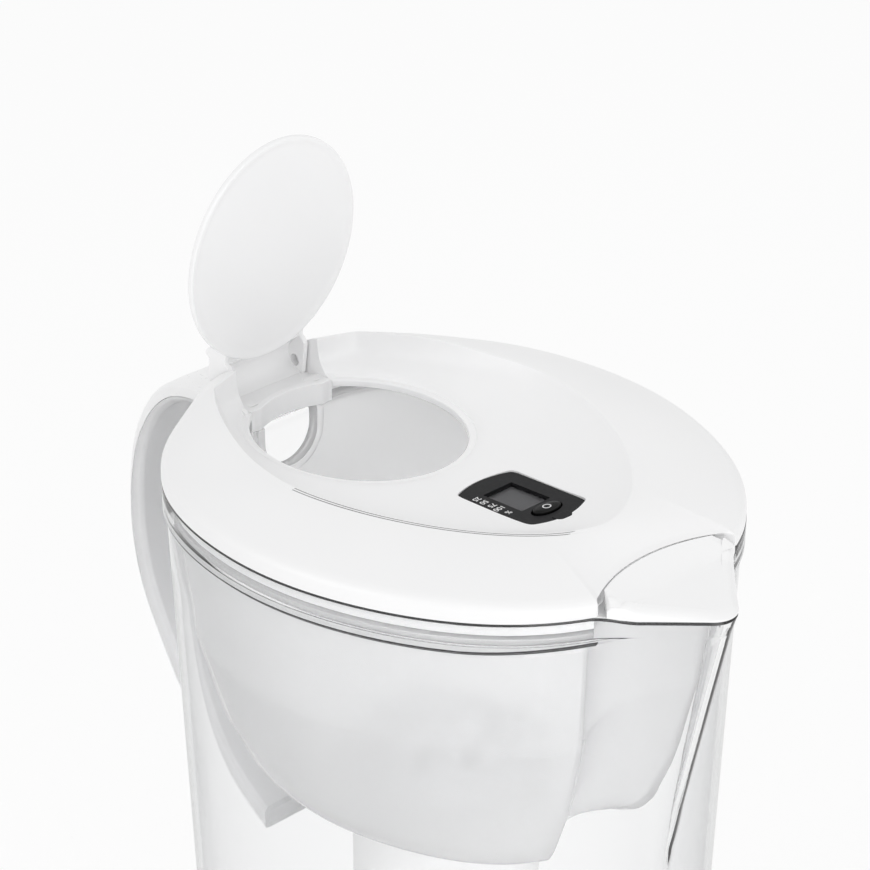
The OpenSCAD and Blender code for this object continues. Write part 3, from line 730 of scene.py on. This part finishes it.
UNDERCUT = 3.3                              # the wall under the seam stands back, to let the flap swing
LIP_Z = (0.03, 0.22)


def crest_z(x):
    return CREST_H - 0.0215*x - 0.0003*x*x + 1.7*ease(-(x + 30)/33)


edge_r = inner_r() + rear_reach()
edge = np.stack([edge_r*COS, edge_r*SIN], axis=1)
to_edge = edge - (CREST_X, 0)
reach_edge = np.linalg.norm(to_edge, axis=1)
unit = to_edge/reach_edge[:, None]
free_crest = (np.abs(unit[:, 0]/CREST_A)**CREST_POWER
    + np.abs(unit[:, 1]/CREST_B)**CREST_POWER)**(-1/CREST_POWER)
reach_crest = np.minimum(free_crest, reach_edge - CREST_MARGIN - 0.55*rear_reach())
crest = (CREST_X, 0) + unit*reach_crest[:, None]
crest_height = crest_z(crest[:, 0])
behind_flap = np.clip((FLAP_SIDE - np.abs(T))/FLAP_FADE, 0, 1)
brim = BRIM + BRIM_MORE*ease((np.abs(T) - 14)/34)
crisp = mix(1, 0.25, behind_flap)           # smaller edge radii at the seam


def lid_edge(inset):
    return np.stack([(edge_r - inset)*COS, (edge_r - inset)*SIN], axis=1)


slope_length = np.linalg.norm(lid_edge(BRIM_IN) - crest, axis=1)


def raised(plan, z):
    return np.column_stack([plan, np.broadcast_to(z, len(plan))])


def edge_ring(inset, z, flap_inset, flap_z):
    """A ring round the lid's edge, with its own inset and height along the seam."""
    return raised(lid_edge(mix(inset, flap_inset, behind_flap)), mix(z, flap_z, behind_flap))


def opening_plan(grow):
    """Where the rays from the crest's middle meet the oval opening."""
    a, b, h = OPENING_A + grow, OPENING_B + grow, OPENING_X - CREST_X
    qa = (unit[:, 0]/a)**2 + (unit[:, 1]/b)**2
    qb, qc = -2*h*unit[:, 0]/a**2, h*h/a**2 - 1
    return (CREST_X, 0) + unit*((-qb + np.sqrt(qb**2 - 4*qa*qc))/(2*qa))[:, None]


def dish_ring(s, drop=0.0):
    """A ring of the dished top, from the opening's seat (0) to the crest (1), steep at both ends."""
    rise = 0.42*sqrt(s) + 0.58*s**6
    return raised(mix(opening_plan(SEAT_W), crest, s), mix(SEAT_H, crest_height, rise) - drop)


def slope_ring(s, drop=0.0):
    """A ring of the outer slope, from the brim (0) to the crest (1)."""
    return raised(mix(lid_edge(BRIM_IN), crest, s),
        mix(brim, crest_height, np.ravel(1 - (1 - s)**1.5)) - drop)


def groove_ring(out, drop):
    """A ring outside the crest and under the slope, nearer to both where the slope is short."""
    short = np.minimum(1, slope_length/GROOVE_SLOPE)
    return slope_ring(1 - (out*short/slope_length)[:, None], drop*short*groove_fade(*crest.T))


def groove_fade(x, y):
    """The grooves run along one side, and are shallower towards both ends."""
    rear = np.clip((x - GROOVE_REAR[0])/GROOVE_REAR[1], 0, 1)
    front_end = np.clip((GROOVE_FRONT[0] - x)/GROOVE_FRONT[1], 0, 1)
    return np.where(y < 0, rear*front_end, 0)


# From the lid's lower edge up to the crest
lid_top = [(edge_ring(0, 0, SKIRT_OUT - 0.2, 0), 0.25), (edge_ring(0, brim - 2.8, UNDERCUT, 2.4), 1.6*crisp),
    (edge_ring(0.8, brim - 1.1, 0.1, 4.62), 1.2*crisp), (slope_ring(0), 1.5)]
lid_top += [(slope_ring(s), 0) for s in np.linspace(0.08, 0.86, 12)]
for out, deep in GROOVES:
    lid_top += [(groove_ring(out + GROOVE_TOP, 0), 0.06), (groove_ring(out + GROOVE_LOW, deep), 0.05),
        (groove_ring(out - GROOVE_LOW, deep), 0.05), (groove_ring(out - GROOVE_TOP, 0), 0.06)]
lid_top += [(slope_ring(1), 0.5)]
# Down the dished top and over the seat of the flip lid
lid_top += [(dish_ring(s), 0) for s in (0.97, 0.94, 0.9, 0.85, 0.8, 0.74, 0.67, 0.6, 0.5, 0.4, 0.3,
    0.2, 0.13, 0.08, 0.045, 0.02)]
lid_top += [(raised(opening_plan(SEAT_W*0.85), SEAT_H + 0.15), 0.3),
    (raised(opening_plan(SEAT_W*0.8), SEAT_H - 0.25), 0.2), (raised(opening_plan(0.2), SEAT_H - 0.25), 0.5),
    (raised(opening_plan(0), SEAT_H - 0.8), 0)]
# Back under the dished top, and down and up the skirt
lid_under = [(raised(opening_plan(0), SEAT_H - LID_T), 0.4),
    (raised(opening_plan(SEAT_W), SEAT_H - LID_T), 0),
    (dish_ring(0.2, LID_T), 0), (dish_ring(0.6, LID_T), 0), (dish_ring(0.9, LID_T), 0),
    (raised(crest, crest_height - LID_T - 0.4), 1), (edge_ring(6.8, 2.8, 6.8, 2.2), 1),
    (inner_ring(1.4, SKIRT_IN), 0.5), (inner_ring(SKIRT_LOW, SKIRT_IN), 0.4),
    (inner_ring(SKIRT_LOW, SKIRT_OUT), 0.4), (inner_ring(0, SKIRT_OUT), 0.2)]
lid = skin("lid", rounded(lid_top + lid_under, 4, loop=True), loop=True)

# Solid webs beside the rear notch carry the bores of the flip lid's hinge
web_skin = [edge_ring(0.6, 0.05, 6, 0.05), edge_ring(0.6, 3.4, 6, 2.2), edge_ring(2.4, 4.9, 6, 3.4)]
web_skin += [slope_ring(s, 0.6) for s in (0.1, 0.4, 0.7, 0.97)]
web_skin += [dish_ring(s, 0.6) for s in (0.9, 0.6, 0.3, 0.1)]
web_skin += [raised(opening_plan(0.6), SEAT_H - 0.6), raised(opening_plan(0.6), 0.05)]
webs = []
for side in (-1, 1):
    web = skin("web", web_skin, loop=True)
    y0, y1 = mirrored(side, WEB_Y[0] - 1, WEB_Y[1])
    webs.append(combine(web, [box("web_box", (-112, y0, -5), (-68, y1, 25))], "INTERSECT"))

DISPLAY_AT, DISPLAY_TILT = (26.5, 0, 3.9), 3.4
BEZEL_X, BEZEL_Y, BEZEL_SHIFT, BEZEL_BULGE = 15.0, 11.7, 0.6, 2.9      # half sizes, place and bulging ends
BEZEL_T = 1.6
TAB = [(16, -3.4), (18.6, -3.4), (19.6, -2.4), (19.8, 1.2), (18.6, 2.7), (16, 3)]
HOUSING = (28.4, 19.5)   # plan of the rim that enters the pocket
POCKET_LOW = -12


def at_display(p):
    """From the display's own frame, on its tilted face, to the lid's."""
    a = radians(DISPLAY_TILT)
    return (DISPLAY_AT[0] + p[0]*cos(a) - p[2]*sin(a), p[1], DISPLAY_AT[2] + p[0]*sin(a) + p[2]*cos(a))


def bezel_outline(grow=0.0):
    """Four-sided plan with bulging ends and rounded corners."""
    end = [(BEZEL_X + grow + BEZEL_BULGE*(1 - v*v), (BEZEL_Y + grow)*v) for v in np.linspace(-1, 1, 11)]
    outline = [(x + BEZEL_SHIFT, y) for x, y in end] + [(BEZEL_SHIFT - x, -y) for x, y in end]
    radii = [3.1 if i%11 in (0, 10) else 0 for i in range(22)]
    return rounded_outline(outline, radii, 6)


def rect(size_x, size_y, corner, x=0.0, y=0.0, segments=6):
    a, b = size_x/2, size_y/2
    return [(x + p[0], y + p[1])
        for p in rounded_outline([(-a, -b), (a, -b), (a, b), (-a, b)], corner, segments)]


combine(lid, webs, "UNION")
combine(lid, [slab("pocket_wall", bezel_outline(1.6), -3.4, -1.2, at_display)], "UNION")
combine(lid, [box("rear_notch", (-112, -WEB_Y[0], -10), (NOTCH_FRONT, WEB_Y[0], 30)),
    rod("bores", HINGE, PIN_R + RUNNING, -19.5, 19.5),
    slab("pocket", bezel_outline(0.1), -1.7, 6, at_display),
    slab("tab_pocket", rounded_outline(TAB, 0.6), -1.65, 6, at_display),
    slab("pocket_hole", rect(HOUSING[0] + 0.3, HOUSING[1] + 0.3, 3), POCKET_LOW, 6, at_display)],
    "DIFFERENCE")

# Two arms in front of the lid carry the bores of the flap's hinge
FLAP_AXIS, FLAP_PIN_R = (83, -1.2), 1.2
ARM = [(73.6, SKIRT_LOW), (85.2, SKIRT_LOW), (85.2, -1.2), (84.7, 0.4), (83, 1.2), (81.3, 0.4), (80.8, -3.4),
    (73.6, -3.4)]
ARM_Y, LUG_Y, FLAP_PIN_Y = (14.9, 17.1), (17.6, 19.2), (14.6, 18.2)
arms = []
for side in (-1, 1):
    bore = rod("arm_bore", FLAP_AXIS, FLAP_PIN_R + RUNNING, -20, 20)
    arms.append(combine(plate("arm", ARM, *mirrored(side, *ARM_Y)), [bore], "DIFFERENCE"))
# A thin lip covers the rim where the flap's corner is cut back to let it swing
lips = []
for side in (-1, 1):
    behind, beside = side*np.linspace(13, 19.4, 9), side*np.linspace(19.4, 16.4, 5)
    plan = np.concatenate([ring(inner_r(behind) - 2, 0, behind),
        ring(jug_r(0, 1.2, 0, beside), 0, beside)])[:, :2]
    lip = slab("lip", [tuple(p) for p in plan][::side], *LIP_Z)
    lips.append(lowered(lip, lambda p: rim_dip(angle_of(p))))
lid = joined("lid", [lid] + arms + lips)
finish_piece(lid, "lid", "white_lid", ["lid_shell"])


def painted_groove_shade(p):
    """The floors and walls of the two fine grooves along the crest, where they are deep enough to see, which
    take painted shade.
    """
    angle, around = np.arctan2(p[1], p[0] - CREST_X), np.arctan2(unit[:, 1], unit[:, 0])
    order = np.argsort(around)
    reach, length = [np.interp(angle, around[order], v[order]) for v in (reach_crest, slope_length)]
    out = (np.hypot(p[0] - CREST_X, p[1]) - reach)/np.minimum(1, length/GROOVE_SLOPE)
    near = np.minimum(np.abs(out - GROOVES[0][0]), np.abs(out - GROOVES[1][0])) < GROOVE_TOP - 0.01
    return near & (groove_fade(*p[:2]) > 0.3) & (p[2] > 6)


# Painted shade: the grooves' floors and walls on the near side take dark grey, for the shadow in them
paint(lid, "groove_painted_shade", painted_groove_shade)

# ---- Cradle in the rear notch ----

CRADLE_TOP, CRADLE_LOW = 1.6, -5.8
BAR_END, BAR_FLAT = 16.8, 12.5       # half lengths of the bar and of its straight run


def bar_plan():
    """The bar's plan: its front follows the opening, and its ends run out into the opening's wall."""
    front, rear = [], []
    for y in np.concatenate([np.arange(-BAR_END, -BAR_FLAT, 0.3), np.linspace(-BAR_FLAT, BAR_FLAT, 41),
            np.arange(BAR_FLAT + 0.1, BAR_END + 0.1, 0.3)]):
        into = 2.4 - 2.5*ease((abs(y) - BAR_FLAT)/(BAR_END - BAR_FLAT))
        x = OPENING_X - OPENING_A*sqrt(1 - (y/OPENING_B)**2)
        front.append((x + into, y))
        rear.append((x + min(into - 1.2, 0.4) - 0.4, y))
    return front + rear[::-1]


bar = slab("cradle", bar_plan(), CRADLE_LOW, CRADLE_TOP)
LEDGE = [(-76.9, 1.35), (-79.5, 1.1), (-82, 0.75), (-84.5, 0.5), (-86.1, 0.45), (-86.1, -0.1), (-85.2, -0.2),
    (-84.9, 0.1), (-81.6, 0.1), (-81.4, -0.9), (-76.9, -3)]
SILL = [(-76.9, 1.2), (-79.4, 0.9), (-80.4, 0.14), (-86.6, 0.14), (-86.6, 0.04), (-81.6, 0.04), (-81.4, -0.9),
    (-76.9, -3)]
ledge = plate("cradle_ledge", LEDGE, -CHEEK_Y[0] + 0.3, CHEEK_Y[0] - 0.3)
sill = plate("cradle_sill", SILL, -WEB_Y[0] - 0.2, WEB_Y[0] + 0.2)
stops = [box("stop", (-81, min(y, 1.55*y), -3), (-75.4, max(y, 1.55*y), 1.15)) for y in (-11, 11)]
cradle = joined("cradle", [bevelled(bar, 0.4, angle=50), ledge, sill] + stops)
finish_piece(cradle, "lid", "white_lid", ["hinge_cradle"])

# ---- Flip lid: drawn closed, then swung open ----

DISC_REACH, DISC_DROP = 46, 1.2      # the disc's middle from the hinge, when closed
DISH = 0.35              # the disc's inner face is slightly hollow inside its rim
NECK = [(11, 0.6), (9, 2.4), (6, 5), (2.4, 6.2), (-1.8, 4.9), (-4.4, 1.8), (-4.9, -1), (-3.6, -3.0),
    (-3.2, -3.0), (-3.1, -2.4), (-2.9, -0.7), (-2, 1.1), (-0.1, 2.8), (2.5, 3.6), (5, 2.9),
    (7.8, 0.6), (9, -1)]
NECK_CORNERS = [1.1]*7 + [0.15]*2 + [1.1]*8
CHEEK = [(17, -1), (14.5, 3), (11.6, 7.2), (10, 8.4), (9, 7.8), (8.2, 6.2), (2.4, 6.2), (-1.8, 4.9),
    (-4.4, 1.8), (-5.1, -1), (-4.2, -3.4), (-3, -3.8), (7.6, -3.8), (9.4, -2), (9.6, -1), (14, -1.2)]


def swung(p):
    """From the closed flip lid, with its hinge at the origin, to where it stands open."""
    a = radians(OPEN_ANGLE)
    return (HINGE[0] + p[0]*cos(a) - p[2]*sin(a), p[1], HINGE[1] + p[0]*sin(a) + p[2]*cos(a))


def disc_ring(inset, z):
    u = np.radians(np.arange(0, 360, 2.5))
    return np.stack([DISC_REACH + (DISC_A - inset)*np.cos(u), (DISC_B - inset)*np.sin(u),
        np.full(len(u), z)], axis=1)


top, low = -DISC_DROP + DISC_T/2, -DISC_DROP - DISC_T/2
profile = [(disc_ring(inset, low + DISH), 0) for inset in (30, 20, 10, 5)]
profile += [(disc_ring(2.6, low + DISH), 1.5), (disc_ring(1.2, low), 0.5), (disc_ring(0, low), 0.8),
    (disc_ring(0, top), 1)]
profile += [(disc_ring(inset, top), 0) for inset in (4, 10, 20, 30)]
disc = skin("flip_lid_cover", [np.array([swung(p) for p in closed]) for closed in rounded(profile, 5)])
neck_plan = rounded_outline(NECK, NECK_CORNERS, 5)
neck = bevelled(plate("neck", neck_plan, -CHEEK_Y[0] - 0.2, CHEEK_Y[0] + 0.2, swung), 0.1)
cheeks = []
for side in (-1, 1):
    cheek_plan = rounded_outline(CHEEK, 0.9, 4)
    cheek = bevelled(plate("cheek", cheek_plan, *mirrored(side, *CHEEK_Y), swung), 0.35, angle=60)
    pin_y = mirrored(side, CHEEK_Y[1] - 0.5, WEB_Y[1] - 0.2)
    combine(cheek, [bevelled(rod("pin", (0, 0), PIN_R, *pin_y, swung), 0.25)], "UNION")
    recess_y = mirrored(side, CHEEK_Y[0] - 1, CHEEK_Y[0] + 2.4)
    cheeks.append(combine(cheek, [rod("recess", (0, 0), PIN_R - 0.5, *recess_y, swung)], "DIFFERENCE"))
flip = joined("flip_lid_cover", [disc, neck] + cheeks)
finish_piece(flip, "flip_lid", "white_flip", ["flip_lid"])

# ---- Spout flap ----

FLAP_MIDDLE = np.array([90.0, 0])
FLAP_REACH, FLAP_FALL = 32.7, 3.1    # from the seam to the spout's tip, and how much lower the flap is there
BACK_HALF = 15.4                     # half the angle of the seam; the front's is 17.2
LUG_R = 2.2
wing = np.arange(6.56, 17.3, 0.56)
front = np.concatenate([-wing[::-1], np.arange(-6, 6.1, 0.4), wing])
back = np.linspace(BACK_HALF, -BACK_HALF, 41)
front_r, back_r = jug_r(0, 0, 0, front), arc_edge_r(back) + SEAM_GAP
flap_plan = np.concatenate([ring(front_r, 0, front)[:, :2], ring(back_r, 0, back)[:, :2]])
at_seam = np.concatenate([0*front, 0*back + 1])
along = np.roll(flap_plan, -1, axis=0) - np.roll(flap_plan, 1, axis=0)
outward = np.stack([along[:, 1], -along[:, 0]], axis=1)/np.linalg.norm(along, axis=1, keepdims=True)


def from_seam(x, y):
    return ARC_R - np.hypot(x - ARC_X - ARC_R, y)


def flap_ring(s, drop, least, inset=0.0):
    """A ring of the flap, which is level with the lid at the seam and falls towards the tip. It runs from the
    middle (0) to the outline (1), lies under the top by the drop, and is nowhere lower
    than the least height."""
    plan = mix(FLAP_MIDDLE, flap_plan - outward*np.reshape(inset, (-1, 1)), s)
    fall = FLAP_FALL*np.clip(from_seam(*plan.T)/FLAP_REACH, 0, 1)**1.25
    return raised(plan, np.maximum(least, SEAM_Z - fall - drop))


skirt_z = 0.3 + 1.3*at_seam          # the lower edge is raised at the seam, to swing clear of the lid
flap_skin = [(flap_ring(0.05, 1.6, 0.6), 0), (flap_ring(0.5, 1.6, 0.6), 0), (flap_ring(0.92, 1.6, 0.6), 0.3),
    (flap_ring(0.93, 20, skirt_z), 0.1), (flap_ring(1, 20, skirt_z), 0.25),
    (flap_ring(1, mix(1.7, 0.3, at_seam), 0.9), mix(1.4, 0.15, at_seam)),
    (flap_ring(1, mix(0.3, 0, at_seam), 1.3, mix(1.5, 0.25, at_seam)), mix(1.2, 0.15, at_seam)),
    (flap_ring(1, 0, 1.3, mix(3.6, 1.2, at_seam)), 1)]
flap_skin += [(flap_ring(s, 0, 1.3), 0) for s in (0.75, 0.55, 0.35, 0.15, 0.05)]
flap = skin("flap", rounded(flap_skin))


def flap_dip(p):
    """The flap falls with the rim, but stays level with the lid at the seam."""
    t = angle_of(p)
    by_rim = 1 - (jug_r(0, 0, 0, t) - np.hypot(p[0], p[1]))/4
    return rim_dip(t)*np.clip(np.maximum(from_seam(p[0], p[1])/10, by_rim), 0, 1)


lowered(flap, flap_dip)
pin_x, pin_z = FLAP_AXIS
lug_plan = [(pin_x - LUG_R, 2.5), (pin_x - LUG_R, pin_z)]
lug_plan += [(pin_x + LUG_R*cos(u), pin_z + LUG_R*sin(u)) for u in np.radians(np.arange(195, 346, 15))]
lug_plan += [(pin_x + LUG_R, pin_z), (pin_x + LUG_R, 2.5)]
lugs = []
for side in (-1, 1):
    lugs += [bevelled(plate("lug", lug_plan, *mirrored(side, *LUG_Y)), 0.15),
        rod("flap_pin", FLAP_AXIS, FLAP_PIN_R, *mirrored(side, *FLAP_PIN_Y))]
flap = joined("flap", [flap] + lugs)
finish_piece(flap, "spout_flap", "white_flip", ["spout_flap"])

# ---- Display ----

WINDOW = (-9.4, 6.6, -5.9, 5.9)
BUTTON_X, BUTTON_SIZE, BUTTON_RISE = 10.9, (5.6, 10.3), 0.55
PRINT = 0.03             # thickness of the print


def oval(size_x, size_y, x, sides=64):
    return [(x + size_x/2*cos(2*pi*i/sides), size_y/2*sin(2*pi*i/sides)) for i in range(sides)]


def window_outline(grow):
    x0, x1, y0, y1 = WINDOW
    return rect(x1 - x0 + 2*grow, y1 - y0 + 2*grow, 0.3, (x0 + x1)/2, (y0 + y1)/2, 2)


bezel = slab("bezel", bezel_outline(), -BEZEL_T, 0, at_display)
bevelled(bezel, 0.2, angle=60)
rim_block = slab("bezel_rim", rect(*HOUSING, 2.9), -3, -BEZEL_T + 0.1, at_display)
tab_plan = rounded_outline([(x - 0.1, y) for x, y in TAB], 0.6)
tab = bevelled(slab("tab", tab_plan, -BEZEL_T + 0.05, 0.25, at_display), 0.2, angle=60)
combine(bezel, [rim_block, tab], "UNION")
combine(bezel, [slab("window_cut", window_outline(0), -5, 3, at_display),
    slab("button_cut", oval(6.2, 11.6, BUTTON_X), -5, 3, at_display),
    slab("rim_cut", rect(HOUSING[0] - 2, HOUSING[1] - 2, 2), -3.4, -BEZEL_T, at_display)], "DIFFERENCE")
finish_piece(bezel, "lid", "bezel_grey", ["display_bezel"])

for name, grow, low, high, slot, node in (("window", -0.1, -1.5, -0.8, "window_clear", "display_window"),
        ("panel", 0.5, -2.9, -1.7, "lcd_grey", "lcd_panel")):
    pane = slab(name, window_outline(grow), low, high, at_display)
    finish_piece(bevelled(pane, 0.08), "lid", slot, [node])


def dome(name, size_x, size_y, low, high, crown, x):
    """An oval button with a rounded edge and a slightly domed top."""
    def oval_ring(inset, z):
        return np.array([at_display((px, py, z)) for px, py in oval(size_x - 2*inset, size_y - 2*inset, x)])
    corners = [(oval_ring(0, low), 0), (oval_ring(0, high), 0.5), (oval_ring(0.5, high + 0.05), 0.3)]
    corners += [(oval_ring(size_x*s/2, high + crown*(1 - (1 - s)**2)), 0) for s in (0.35, 0.55, 0.75, 0.9)]
    return skin(name, rounded(corners, 5))


button = joined("button", [dome("button_top", *BUTTON_SIZE, -1.9, BUTTON_RISE, 0.3, BUTTON_X),
    slab("button_foot", oval(6.6, 11.2, BUTTON_X), -2.2, -1.7, at_display)])
finish_piece(button, "start_button", "button_black", ["start_button"])

# A plain ring marks the button, and a scale of numbers stands beside the window


def print_ring(name, outer, inner, x, z, body):
    """A flat ring printed on the display, a little longer across than along it."""
    points, sides = [], 48
    for i in range(sides):
        u = 2*pi*i/sides
        for r in (outer, inner):
            for h in (0, PRINT):
                points.append(at_display((x + r*cos(u), 1.15*r*sin(u), z + h)))
    faces = []
    for i in range(sides):
        a, b = 4*i, 4*((i + 1)%sides)
        faces += [(a, a + 1, b + 1, b), (a + 1, a + 3, b + 3, b + 1), (a + 3, a + 2, b + 2, b + 3),
            (a + 2, a, b, b + 2)]
    finish_piece(solid(name, points, faces), body, "button_black", [], "print_white")


print_ring("button_mark", 1.25, 0.9, BUTTON_X, BUTTON_RISE + 0.295, "start_button")


def printed(name, text, x, y, size):
    """Text printed on the bezel, read from the handle's side."""
    curve = bpy.data.curves.new(name, "FONT")
    curve.body = text
    curve.size = size*MM
    curve.extrude = PRINT*MM/2
    curve.offset = 0.00003
    curve.align_x = curve.align_y = "CENTER"
    made = bpy.data.objects.new(name, curve)
    scene.collection.objects.link(made)
    place = np.array(at_display((x, y, 0.01))) + (JUG_X, 0, RIM_H)
    made.matrix_world = (Matrix.Translation(Vector(place*MM))
        @ Matrix.Rotation(-radians(DISPLAY_TILT), 4, "Y") @ Matrix.Rotation(-pi/2, 4, "Z"))
    bpy.context.view_layer.update()
    mesh = bpy.data.meshes.new_from_object(made.evaluated_get(bpy.context.evaluated_depsgraph_get()))
    mesh.transform(made.matrix_world)
    bpy.data.objects.remove(made)
    piece = bpy.data.objects.new(name, mesh)
    scene.collection.objects.link(piece)
    finish_piece(piece, "lid", "bezel_grey", [], "print_white")


SCALE_Y, SCALE_SIZE = -9.0, 2.7
for name, text, x in (("scale_25", "25", -8.9), ("scale_50", "50", -5.9), ("scale_75", "75", -2.6),
        ("scale_100", "100", 0.35), ("scale_percent", "%", 4.1)):
    printed(name, text, x, SCALE_Y, SCALE_SIZE)
